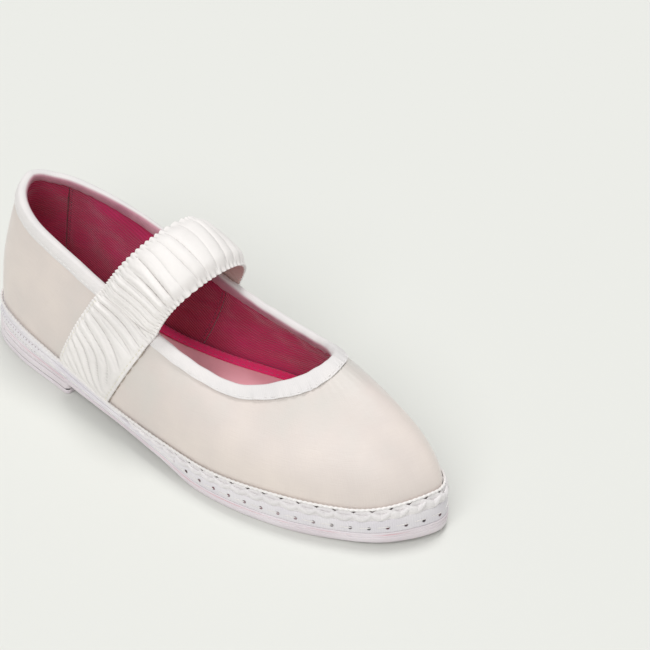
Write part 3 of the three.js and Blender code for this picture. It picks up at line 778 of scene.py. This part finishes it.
def topline_binding():
    """The folded tape over the topline: out of the lower outer edge, up, over and down inside, then back."""
    columns = np.linspace(0, COLUMNS, 768, endpoint=False)
    outer_face = -(BINDING_GAP + BINDING_THICKNESS)
    inner_face = LINING_DEPTHS[1] + BINDING_GAP + BINDING_THICKNESS
    wobble = ripples(31, 14)(columns * 7.0, 0 * columns)
    pucker = ripples(32, 4)(columns * 7.0, 0 * columns)
    throat = bell(columns, 32, 9)

    def back(depth, reached, size):
        """The face against the shoe, at shares of a leg's reach."""
        ts = height_below(columns, reached * binding_leg(size, columns)[:, None])
        return wall_point(columns[:, None], ts, depth)

    def leg(depth, reached, size, bulge):
        """The open face, which bulges and puckers away from the shoe."""
        swell = bulge * np.sin(math.pi * reached)
        gather = (0.1 + 0.4 * throat[:, None]) * pucker[:, None] * reached**2
        return back(depth - np.sign(-depth + 1) * (swell + gather), reached, size)

    edge = wall(columns, 1.0)[:, None]
    out = wall_normal(columns, 1.0)[:, None]
    along = unit(wall(columns + 0.05, 1.0) - wall(columns - 0.05, 1.0))[:, None]
    up = edge - wall(columns, 0.97)[:, None]
    up = unit(up - along * np.sum(up * along, axis=-1, keepdims=True))
    middle = (outer_face + inner_face) / 2

    def over(turn, half_depth, rise):
        depth = middle - half_depth * np.cos(turn)
        return edge - out * depth[:, None] + up * (rise * np.sin(turn))[:, None]

    crown = np.linspace(0, math.pi, 13)[1:-1]
    outer = leg(outer_face, np.linspace(1, 0, 15), BINDING_OUTER_LEG, 0.25)
    top = over(crown, (inner_face - outer_face) / 2, 1.6)
    inner = leg(inner_face, np.linspace(0, 1, 11), BINDING_INNER_LEG, 0.2)
    back_inner = back(LINING_DEPTHS[1] + BINDING_GAP, np.linspace(1, 0, 6), BINDING_INNER_LEG)
    under = over(crown[::-1][::3], (inner_face - outer_face) / 2 - BINDING_THICKNESS, 0.5)
    back_outer = back(-BINDING_GAP, np.linspace(0, 1, 6), BINDING_OUTER_LEG)
    sections = np.concatenate([outer, top, inner, back_inner, under, back_outer], axis=1)
    sections[..., 2] += 0.12 * wobble[:, None]
    return band("topline_binding_tape", sections, [binding_tape], looped=True, reference=7, zero=20)


binding = topline_binding()


def binding_stitches():
    columns = np.linspace(0, COLUMNS, 700)
    distance = binding_leg(BINDING_OUTER_LEG, columns)[:, None] - 1.1
    t = height_below(columns, distance)[:, 0]
    points = wall_point(columns, t, -(BINDING_GAP + BINDING_THICKNESS + 0.12))
    run = (points, wall_normal(columns, t))
    return stitches("binding_stitch_thread", [run], white_thread, BINDING_STITCH)


binding_thread = binding_stitches()


def lining_seams():
    """Double rows beside the two heel seams, and one beside the medial waist seam."""
    runs = []
    heel = [seam + shift for seam in LINING_HEEL_SEAMS for shift in (-0.2, 0.2)]
    for column in (*heel, LINING_WAIST_SEAM + 0.2):
        t = np.linspace(0.1, 0.9, 80)
        columns = np.full(t.shape, column)
        depth = lining_depth(columns, t) + 0.08
        runs.append((wall_point(columns, t, depth), -wall_normal(columns, t)))
    return stitches("lining_seam_thread", runs, red_thread, LINING_STITCH)


lining_thread = lining_seams()

# ---- Footbed -------------------------------------------------------------------------------------


def footbed_plate(name, bottom, top, look, dish=0.0):
    """A plate that fills the footbed's outline, as a loop of sections that meet on the shoe's middle line."""
    s = shares(320)
    edge = footbed_edge(s)
    middle = (edge + footbed_edge(1 - s)) / 2
    share = np.linspace(0, 1, 14)[None, :, None]
    flat = lerp(middle[:, None], edge[:, None], share)
    low = flat.copy()
    low[..., 2] = footbed_height(flat[..., 0], bottom)
    high = flat.copy()
    high[..., 2] = footbed_height(flat[..., 0], top) - dish * (1 - share[..., 0] ** 2)
    return band(name, np.concatenate([low, high[:, ::-1]], axis=1), [look], looped=True, reference=13)


sock = footbed_plate("insole_sock_cloth", SOCK_HEIGHTS[0], SOCK_HEIGHTS[1], pink_sock, dish=0.3)


def sock_band():
    s = shares(420)[:, None]
    inset = np.array([0.0, 0.1, 1.2, 2.75, 4.3, 5.4, BAND_WIDTH, 4.5, 1.0])
    rise = lerp(*BAND_HEIGHTS, np.array([0, 9, 14, 15, 14, 9, 0, 0, 0]) / 15)
    sections = footbed_edge(np.broadcast_to(s, (420, 9)), inset)
    sections[..., 2] = footbed_height(sections[..., 0], rise)
    return band("sock_binding_tape", sections, [raspberry_tape], looped=True, reference=3)


footbed_band = sock_band()


def band_stitches():
    runs = []
    for inset in (1.1, BAND_WIDTH - 1.1):
        points = footbed_edge(np.linspace(0, 1, 500), inset)
        points[:, 2] = footbed_height(points[:, 0], BAND_HEIGHTS[1])
        runs.append((points, np.tile([0.0, 0.0, 1.0], (500, 1))))
    return stitches("sock_stitch_thread", runs, band_thread, SOCK_STITCH)


footbed_thread = band_stitches()

# ---- Sole ----------------------------------------------------------------------------------------

def sole_loop(stations, ring):
    """Sections round the sole from ring(x), which gives insets and heights as stations-by-points grids."""
    s = shares(stations)
    return edge_point(s[:, None], *ring(outline(s)[:, 0]))


def outsole_piece():
    """The rubber sole: grooved edge, rounded lower rim and shallow ribs underneath."""
    s = shares(900)
    edge_x = outline(s)[:, 0]
    low = underside(edge_x)
    high = edge_height(edge_x, OUTSOLE_SHARE)
    rim = [(1.2, 0.0), (0.45, 0.06), (0.12, 0.16), (0.0, 0.3), (0.0, 0.5), (0.3, 0.54), (0.3, 0.58),
           (0.0, 0.62), (0.0, 0.76), (0.28, 0.8), (0.28, 0.84), (0.0, 0.88), (0.05, 0.96), (0.3, 1.0)]
    inset, share = np.array(rim).T
    points = inset_outline(*np.broadcast_arrays(s[:, None], inset))
    points[..., 2] = lerp(low[:, None], high[:, None], share)
    inner = inset_outline(s, 3.0)
    middle = (inner + inset_outline(1 - s, 3.0)) / 2
    sweep = np.linspace(0, 1, 12)[:, None]
    plate = lerp(middle[:, None], inner[:, None], sweep)
    under = plate.copy()
    under[..., 2] = underside(plate[..., 0]) + tread_rise(plate[..., 0], sweep[:, 0])
    over = plate[:, ::-1].copy()
    over[..., 2] = edge_height(over[..., 0], OUTSOLE_SHARE)
    return band("outsole_rubber", np.concatenate([under, points, over], axis=1), [rubber], looped=True,
                reference=15, crease=35, zero=21)


def tread_rise(x, sweep):
    """Shallow cross ribs, faded out at the edge of the sole and under the heel block."""
    rib = smoothstep(np.sin(2 * math.pi * x / 5.0), -0.25, 0.25)
    return 0.5 * rib * (1 - smoothstep(sweep, 0.9, 0.99)) * smoothstep(x, 68, 74)


outsole = outsole_piece()


def heel_outline(count=420, corner=2.5):
    """The heel's plan: the sole outline behind the breast line, and a straight front with round corners."""
    s = np.linspace(-0.5, 0.5, 2400)
    edge = outline(s)[:, :2]
    back = edge[edge[:, 0] < HEEL_BREAST_X - corner]

    def corner_arc(start):
        pivot = np.array([HEEL_BREAST_X, start[1]])
        end = pivot - [0, corner * np.sign(start[1])]
        u = np.linspace(0, 1, 9)[1:, None]
        return start * (1 - u) ** 2 + 2 * pivot * u * (1 - u) + end * u**2

    low_arc, high_arc = corner_arc(back[-1]), corner_arc(back[0])[::-1]
    front = lerp(low_arc[-1], high_arc[0], np.linspace(0, 1, 60)[1:-1, None])
    loop = np.concatenate([back, low_arc, front, high_arc])
    closed = np.concatenate([loop, loop[:1]])
    lengths = running_length(closed)
    at = np.linspace(0, lengths[-1], count, endpoint=False)
    return np.stack([np.interp(at, lengths, closed[:, k]) for k in range(2)], axis=-1)


def heel_piece(name, rim, low, high, crease=35):
    """A solid on the heel's plan; rim lists (inset, share of the height) up its side."""
    plan = heel_outline()
    ahead = unit(np.roll(plan, -1, axis=0) - np.roll(plan, 1, axis=0))
    inward = np.stack([-ahead[:, 1], ahead[:, 0]], axis=-1)
    middle = np.stack([np.clip(plan[:, 0], 24, HEEL_BREAST_X - 24), np.zeros(len(plan))], axis=-1)
    rings = []
    for inset, share in [(None, 0.0), (6.0, 0.0), *rim, (6.0, 1.0), (None, 1.0)]:
        flat = middle if inset is None else plan + inward * inset
        z = lerp(low(flat[:, 0]), high(flat[:, 0]), share)
        rings.append(np.column_stack([flat, z]))
    return band(name, np.stack(rings, axis=1), [rubber], looped=True, reference=3, crease=crease)


heel_rim = [(0.9, 0.0), (0.3, 0.05), (0.0, 0.2), (0.0, 0.5), (0.0, 0.92), (0.12, 1.0)]
heel_block = heel_piece("heel_block_rubber", heel_rim[2:], lambda x: TOP_PIECE_HEIGHT + 0.05 + 0 * x,
                        lambda x: underside(x) - 0.02)
heel_top = heel_piece("heel_top_piece_rubber", heel_rim, lambda x: 0 * x, lambda x: TOP_PIECE_HEIGHT + 0 * x)


def rand_piece():
    """The tape round the middle of the sole's edge, slightly crowned."""

    def ring(x):
        low = edge_height(x, OUTSOLE_SHARE) + 0.12
        high = edge_height(x, RAND_SHARE)
        share = np.array([0.0, 0.04, 0.12, 0.3, 0.5, 0.7, 0.88, 0.96, 1.0, 1.0, 0.5, 0.0])
        inset = np.array([0.45, 0.28, 0.2, 0.1, 0.06, 0.1, 0.2, 0.3, 0.5, 1.6, 1.6, 1.6])
        return inset, lerp(low[:, None], high[:, None], share)

    return band("rand_tape_cloth", sole_loop(720, ring), [rand_look()], looped=True, reference=4)


rand = rand_piece()


def rand_thread_piece():
    s = np.linspace(0, 1, 1200)
    points = edge_point(s, -0.02, edge_height(outline(s)[:, 0], DASH_SHARE))
    ahead = unit(np.gradient(points, axis=0))
    outward = np.stack([ahead[:, 1], -ahead[:, 0], 0 * s], axis=-1)
    return stitches("rand_stitch_dashes", [(points, outward)], white_thread, RAND_STITCH)


rand_thread = rand_thread_piece()

BRAID_PITCH = 25.5


def braid_shape(x):
    """Half height of the welt band, height of its middle, and how strongly it is plaited there."""
    low = edge_height(x, RAND_SHARE) - 0.1
    high = sole_top(x)
    plaited = smoothstep(x, 102, 118)
    return (high - low) / 2, (high + low) / 2, plaited


def welt_band():
    def ring(x):
        half, middle, plaited = braid_shape(x)
        turn = turns(16)
        inset = 1.75 + np.cos(turn) * (1.35 - 0.7 * plaited[:, None]) + 0.5 * plaited[:, None]
        return inset, middle[:, None] + np.sin(turn) * (half * (1 - 0.12 * plaited))[:, None]

    return band("welt_band_cloth", sole_loop(720, ring), [welt_core], looped=True, reference=8)


def welt_strand(index):
    """One of the three strands of the flat plait round the forefoot."""
    s = shares(1500)
    centre = outline(s)
    x = centre[:, 0]
    length = running_length(np.concatenate([centre, centre[:1]]))
    plaits = round(length[-1] / BRAID_PITCH)
    phase = 2 * math.pi * (length[:-1] / length[-1] * plaits + index / 3)
    half, middle, plaited = braid_shape(x)
    swing = half * (0.5 * np.sin(phase) - 0.1 * plaited)
    out = 1.35 - plaited * (0.7 + 0.8 * np.cos(2 * phase)) + (1 - plaited) * 1.3
    turn = turns(12)
    slant = 0.001225 * plaited * np.cos(phase)
    inset = out[:, None] + np.cos(turn) * 0.85
    height = (middle + swing)[:, None] + np.sin(turn) * (half * 0.58)[:, None]
    along = s[:, None] + slant[:, None] * np.sin(turn)
    points = edge_point(along, inset, height)
    return band(f"welt_strand_{index + 1}", points, [braid_cotton], looped=True, reference=0)


welt = welt_band()
strands = [welt_strand(index) for index in range(3)]


def piping_piece():
    """A two-ply twisted cord along the top line of the sole."""
    s = shares(2200)
    x = outline(s)[:, 0]
    length = running_length(np.concatenate([outline(s), outline(np.zeros(1))]))
    twist = 2 * math.pi * length[:-1] / 2.4
    turn = turns(8)
    radius = 0.62 * (1 + 0.16 * np.cos(2 * turn - twist[:, None]))
    height = (sole_top(x) + 0.35)[:, None] + radius * np.sin(turn)
    points = edge_point(s[:, None], 0.55 + radius * np.cos(turn), height)
    return band("welt_piping_cord", points, [white_thread], looped=True, reference=0)


piping = piping_piece()

# ---- Strap ---------------------------------------------------------------------------------------

STRAP_STATIONS = 820
STRAP_ACROSS = 44
CROWN_PITCH, CLOSE_PITCH, PANEL_PITCH = 6.8, 4.3, 5.0  # of the pleats


def strap_column(side, v, t):
    """The grid column at v across a side panel, from its rear edge to its front edge."""
    rear, front, flare = side
    return lerp(rear, front + flare * t, v)


def arch(u, v):
    """The inner face of the arch: u from the lateral to the medial end, v from the rear to the front edge."""
    lateral = wall_point(strap_column(LATERAL_STRAP, v, 1.0), 1.0, -STRAP_STANDOFF)
    medial = wall_point(strap_column(MEDIAL_STRAP, v, 1.0), 1.0, -STRAP_STANDOFF)
    across = ((1 - np.cos(math.pi * u)) / 2)[..., None]
    sine = np.clip(np.sin(math.pi * u), 0, 1)
    swell = sine**0.7
    crown = ARCH_CROWN * (1 - (2 * v - 1) ** 2) * sine
    point = lerp(lateral, medial, across)
    point[..., 0] += lerp(ARCH_REAR[1], ARCH_FRONT[1], v) * swell
    point[..., 1] -= crown * np.cos(math.pi * u)
    point[..., 2] += lerp(ARCH_REAR[0], ARCH_FRONT[0], v) * swell + GAP + crown * sine
    return point


def strap_base():
    """The strap's inner face as a grid, each station's distance along it, and where the toplines cross."""
    v = np.linspace(0, 1, STRAP_ACROSS)[None, :]
    foot = -0.012

    def panel(columns, t):
        rise = smoothstep(t, 0.66, 0.84)
        return wall_point(strap_column(columns, v, np.clip(t, 0, 1)), t, -lerp(0.25, STRAP_STANDOFF, rise))

    side = np.linspace(foot, 1, 160)[:-1, None]
    over = np.linspace(0, 1, 320)[:, None]
    lateral = panel(LATERAL_STRAP, side)
    medial = panel(MEDIAL_STRAP, side)[::-1]
    middle = arch(*np.broadcast_arrays(over, v))
    path = np.concatenate([lateral, middle, medial])
    lengths = running_length(path)
    ends = lengths[[len(side), len(side) + len(over)]]
    even = np.linspace(0, 1, STRAP_STATIONS)
    grid = np.empty((STRAP_STATIONS, STRAP_ACROSS, 3))
    for j, k in np.ndindex(STRAP_ACROSS, 3):
        grid[:, j, k] = np.interp(even * lengths[-1, j], lengths[:, j], path[:, j, k])
    mean_length = lengths[-1].mean()
    joins = (ends / lengths[-1]).mean(axis=1) * mean_length
    return soften(grid, 8), even * mean_length, joins


def soften(grid, reach):
    """Rounds the bends between the strap's parts, leaving its two ends in place."""
    kernel = bell(np.linspace(-2, 2, 2 * reach + 1), 0, 1)
    kernel /= kernel.sum()
    padded = np.concatenate([2 * grid[:1] - grid[reach:0:-1], grid, 2 * grid[-1:] - grid[-2:-reach - 2:-1]])
    smooth = np.zeros_like(grid)
    for k, share in enumerate(kernel):
        smooth += share * padded[k:k + len(grid)]
    return smooth


def ridge(phase, sharpness=0.55):
    """Round ridges between narrow valleys, from 0 to 1 once every turn."""
    return np.abs(np.cos(phase / 2)) ** sharpness


pleat_spacing = ripples(41, 24)
pleat_bend = ripples(42, 34)
pleat_strength = ripples(43, 15)


def pleat_phase(w, v, width, from_crown, drop, side):
    """The angle through the pleats: wide at the crown, close at its ends, slanted down each side panel."""
    pitch = lerp(CROWN_PITCH, CLOSE_PITCH, smoothstep(from_crown, 0.2, 0.7))
    pitch = lerp(pitch, PANEL_PITCH, smoothstep(drop, 10, 52))
    pleats = np.concatenate([[[0]], np.cumsum(np.diff(w, axis=0) / pitch[1:], axis=0)])
    slope = 0.78 * smoothstep(drop, 0, 54)
    phase = 2 * math.pi * (pleats + side * slope * v * width / pitch)
    return phase + 1.2 * pleat_spacing(w, v * 9) + 0.55 * pleat_bend(w, v * 40)


def pleat_height(w, v, phase, from_crown):
    """Broad pleats, with fine ones between them away from the crown."""
    depth = lerp(0.9, 1.55, smoothstep(from_crown, 0.2, 0.6)) * (1 + 0.35 * pleat_strength(w, v * 14))
    fine = ridge(2 * phase + 1.2 * pleat_bend(w * 2, v * 60)) - 0.6
    return depth * (ridge(phase) - 0.62) + 0.42 * fine * smoothstep(from_crown, 0.3, 0.7)


def strap_piece():
    """The ruched strap, and what its threads follow: its outer face, front edge, normals and drops."""
    base, along, (lateral_join, medial_join) = strap_base()
    v = np.linspace(0, 1, STRAP_ACROSS)[None, :]
    w = along[:, None]
    width = np.linalg.norm(base[:, -1] - base[:, 0], axis=1)[:, None]
    across = np.gradient(base, axis=1)
    normal = unit(np.cross(across, np.gradient(base, axis=0)))
    crown = (lateral_join + medial_join) / 2
    from_crown = np.abs(w - crown) / ((medial_join - lateral_join) / 2)
    drop = np.maximum(lateral_join - w, w - medial_join)
    on_panel = smoothstep(drop, -4, 8)
    edge = np.minimum(v, 1 - v) * width
    rim = 1 - smoothstep(edge, 0.0, 2.5)

    phase = pleat_phase(w, v, width, from_crown, drop, np.where(w < crown, 1.0, -1.0))
    scallop = ridge(2 * phase, 0.8) - 0.6
    fade = 1 - 0.25 * smoothstep(drop, 28, 58)
    height = lerp(0.6 * scallop, pleat_height(w, v, phase, from_crown), smoothstep(edge, 0.4, 4.5)) * fade
    puff = lerp(1.1, 3.0, smoothstep(edge, 0.0, 7.0))
    puff = lerp(puff, lerp(0.9, 1.9, smoothstep(edge, 0.0, 4.0)), on_panel)
    foot = smoothstep(np.minimum(w, along[-1] - w), 0.0, 7.0)
    top = np.maximum((puff + height) * lerp(0.45, 1.0, foot), 0.45)

    frill = 0.42 * scallop * rim * fade * (1 - 0.6 * on_panel)
    sideways = unit(across)
    shift = sideways * (np.where(v < 0.5, -1.0, 1.0) * frill)[..., None]
    flutter = 0.22 * np.sin(2 * phase + 1.0) * rim * (1 - on_panel)
    inner_rise = np.maximum(0.0, 0.1 + 0.1 * scallop) * (1 - on_panel) + flutter
    outer = base + normal * (top + flutter)[..., None] + shift
    inner = base + normal * inner_rise[..., None] + shift
    sections = np.concatenate([outer, inner[:, ::-1]], axis=1)
    # The inner face takes the shaded pinkish copy of the ruching, with painted shade and painted reflection
    # of the lining.
    faces = np.repeat([0, 1], STRAP_ACROSS)
    faces[-1] = 0
    strap = band("ruched_strap", sections, [ruching, ruching_inside_painted_shade], reference=STRAP_ACROSS // 2,
                 look_of_ring=faces, crease=75)
    front = inner[:, -1] + normal[:, -1] * 0.1 + sideways[:, -1] * 0.25
    return strap, outer, front, normal, drop[:, 0]


strap, strap_outer, strap_front, strap_normal, strap_drop = strap_piece()


def side_panels(least_drop):
    """The strap's stations on each side panel, from a drop below the topline down to the sole."""
    rows = np.flatnonzero(strap_drop > least_drop)
    return rows[rows < STRAP_STATIONS // 2], rows[rows >= STRAP_STATIONS // 2]


def strap_seams():
    """Rows of stitches that hold the two side panels to the satin, just inside their edges."""
    runs = []
    for rows in side_panels(6):
        for column in (2, STRAP_ACROSS - 3):
            runs.append((strap_outer[rows, column], strap_normal[rows, column]))
    return stitches("strap_seam_thread", runs, cream_thread, STRAP_STITCH)


strap_thread = strap_seams()


def strap_edge_lines():
    """Brown stitches along the front edge of each side panel, against the satin."""
    runs = [(strap_front[rows], strap_normal[rows, -1]) for rows in side_panels(8)]
    return stitches("strap_edge_thread", runs, brown_thread, STRAP_EDGE_STITCH)


strap_edge = strap_edge_lines()

# ---- Hidden CAD pieces ---------------------------------------------------------------------------

foam = plain_look("foam", (242, 236, 218), (226, 218, 196), 900, 0.3, 0.95)
board = plain_look("board", (190, 160, 118), (160, 130, 92), 700, 0.15, 0.9)
stiffener = plain_look("stiffener", (222, 218, 208), (200, 196, 186), 1200, 0.1, 0.9)
steel = plain_look("spring_steel", (170, 174, 180), (140, 144, 152), 1500, 0.02, 0.32, metallic=1.0)
elastic = plain_look("elastic", (240, 240, 238), (216, 216, 214), 1400, 0.2, 0.8)

hidden = [
    (foam, ["midsole", "footbed_foam"]),
    (board, ["insole_board"]),
    (steel, ["shank"]),
    (elastic, ["strap_elastic"]),
    (stiffener, ["toe_puff", "heel_counter", "lateral_interlining", "medial_interlining"]),
]
for look, nodes in hidden:
    for node in nodes:
        materials = frame["nodes"][node].data.materials
        materials.clear()
        materials.append(look)

# ---- Which body each piece rides on, what it stands for, and its finish ---------------------------

placed = [
    (vamp, ["vamp"], "pearl_satin"),
    (lateral_quarter, ["lateral_quarter"], "pearl_satin"),
    (medial_quarter, ["medial_quarter"], "pearl_satin"),
    (vamp_lining, ["vamp_lining"], "raspberry_twill"),
    (lateral_lining, ["lateral_lining"], "raspberry_twill"),
    (medial_lining, ["medial_lining"], "raspberry_twill"),
    (heel_lining, ["heel_lining"], "raspberry_twill"),
    (lining_thread, [], "raspberry_twill"),
    (binding, ["topline_binding"], "white_tape"),
    (binding_thread, [], "white_thread"),
    (sock, ["insole_sock"], "pink_sock"),
    (footbed_band, ["sock_binding"], "raspberry_band"),
    (footbed_thread, [], "raspberry_band"),
    (outsole, ["outsole"], "white_rubber"),
    (heel_block, ["heel_block"], "white_rubber"),
    (heel_top, ["heel_top_piece"], "white_rubber"),
    (rand, ["rand_tape"], "white_tape"),
    (rand_thread, ["rand_stitch_thread"], "white_thread"),
    (welt, ["welt_braid"], "white_thread"),
    (piping, ["welt_piping"], "white_thread"),
]
placed += [(strand, [], "white_thread") for strand in strands]
for piece, nodes, slot in placed:
    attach(piece, "shoe")
    if nodes:
        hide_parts(*nodes)

for piece in (strap, strap_thread, strap_edge):
    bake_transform(piece)
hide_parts("strap_panel_lateral", "strap_panel_medial", "strap_sleeve")

# ---- Floor, light and camera ---------------------------------------------------------------------

CAMERA_PLACE = (0.65016, -0.7834, 0.83252)
CAMERA_VIEW = (36.77 - 90, 37.17, 3.25)  # azimuth, elevation and roll in degrees
CAMERA_LENS = 153.7
FLOOR_HALF = 6.0


def floor():
    """A wide pale sweep under the shoe."""
    look = Look("floor", Roughness=0.9)
    look.done(look.mix(look.times(look.noise(3), 0.02), (223, 224, 219), (220, 221, 216)))
    mesh = bpy.data.meshes.new("floor")
    corners = [(x * FLOOR_HALF, y * FLOOR_HALF, 0) for x, y in ((-1, -1), (1, -1), (1, 1), (-1, 1))]
    mesh.from_pydata(corners, [], [(0, 1, 2, 3)])
    mesh.materials.append(look.material)
    add_object("floor", mesh)


def aim(shown, azimuth, elevation, roll=0.0, place=(0, 0, 0)):
    """Turns a lamp or camera to look from a direction; azimuth is measured from +X towards +Y, in degrees."""
    a, e, r = (math.radians(angle) for angle in (azimuth, elevation, roll))
    back = np.array([math.cos(a) * math.cos(e), math.sin(a) * math.cos(e), math.sin(e)])
    right = unit(np.cross([0, 0, 1.0], back))
    up = np.cross(back, right)
    axes = np.column_stack([lean(right, up, r), lean(up, -right, r), back])
    shown.matrix_world = Matrix([[*row, p] for row, p in zip(axes, place)] + [[0, 0, 0, 1]])


def lean(axis, other, roll):
    return axis * math.cos(roll) + other * math.sin(roll)


def sun(name, strength, azimuth, elevation, angle):
    """A soft distant lamp."""
    lamp = bpy.data.lights.new(name, "SUN")
    lamp.energy = strength
    lamp.angle = math.radians(angle)
    aim(add_object(name, lamp), azimuth, elevation)


def world(strength):
    made = bpy.data.worlds.new("studio")
    made.use_nodes = True
    background = made.node_tree.nodes["Background"]
    background.inputs["Color"].default_value = (1.0, 1.0, 1.0, 1)
    background.inputs["Strength"].default_value = strength
    bpy.context.scene.world = made


def camera():
    made = bpy.data.cameras.new("camera")
    made.lens = CAMERA_LENS
    made.sensor_width = 36
    made.clip_start, made.clip_end = 0.05, 20
    shown = add_object("camera", made)
    aim(shown, *CAMERA_VIEW, CAMERA_PLACE)
    bpy.context.scene.camera = shown


floor()
world(0.45)
sun("key", 1.2, 104, 75, 20)
sun("fill", 1.4, -74, 45, 38)
camera()
bpy.context.scene.view_settings.view_transform = "Standard"
